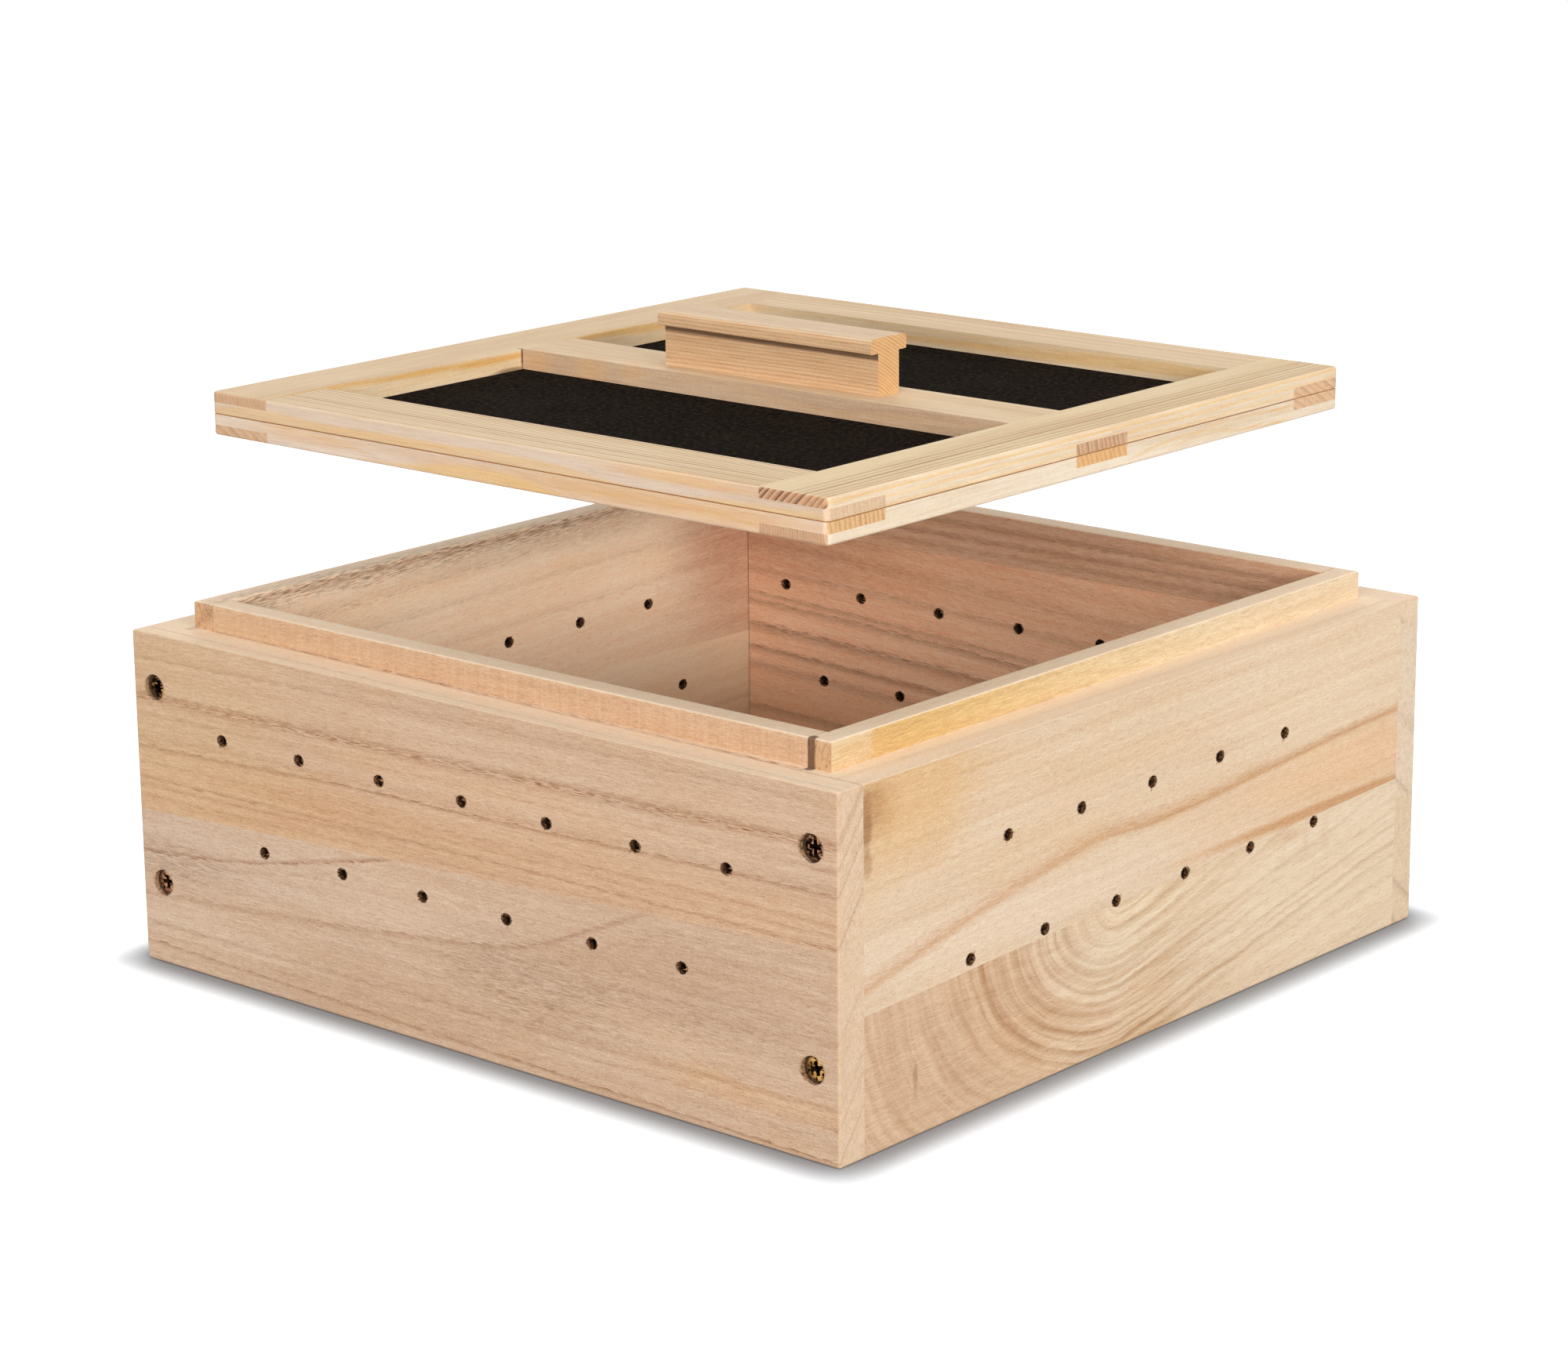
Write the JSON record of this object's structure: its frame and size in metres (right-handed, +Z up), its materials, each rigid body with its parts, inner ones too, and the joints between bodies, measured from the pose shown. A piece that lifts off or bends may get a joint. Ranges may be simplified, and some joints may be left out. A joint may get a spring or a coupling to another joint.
{
  "type": "hive box",
  "caption": "Square wooden hive box of glued staves with a rebated stacking rim and staggered vent holes, and a lifted lid of two half-lapped frames holding a dark cloth, with a T grip.",
  "frame": {"origin": "middle of the box's footprint, on the surface that it stands on", "axes": "+X along the front wall to the right, +Y from front to back, +Z up"},
  "size_m": [0.35, 0.35, 0.244],
  "materials": {
    "box_wood": "planed, untreated, light",
    "rail_wood": "planed, untreated, pale",
    "handle_wood": "planed, untreated",
    "cloth": "dense, matt, dark",
    "screw_metal": "yellow plated"
  },
  "bodies": {
    "box": {"front_lower_stave": "box_wood", "front_upper_stave": "box_wood", "back_lower_stave": "box_wood", "back_middle_stave": "box_wood", "back_top_stave": "box_wood", "left_lower_stave": "box_wood", "left_upper_stave": "box_wood", "right_lower_stave": "box_wood", "right_upper_stave": "box_wood", "front_wall_screws": "screw_metal", "back_wall_screws": "screw_metal"},
    "lid": {"upper_left_rail": "rail_wood", "upper_right_rail": "rail_wood", "upper_front_rail": "rail_wood", "upper_back_rail": "rail_wood", "upper_crossbar": "rail_wood", "lower_left_rail": "rail_wood", "lower_right_rail": "rail_wood", "lower_front_rail": "rail_wood", "lower_back_rail": "rail_wood", "lower_crossbar": "rail_wood", "lid_cloth": "cloth", "lid_handle": "handle_wood", "frame_screws": "screw_metal", "handle_screws": "screw_metal"}
  },
  "joints": [
    {"name": "lid_lift", "type": "slide", "parent": "box", "child": "lid", "axis": [0, 0, 1], "range_m": [-0.064, 0]}
  ]
}
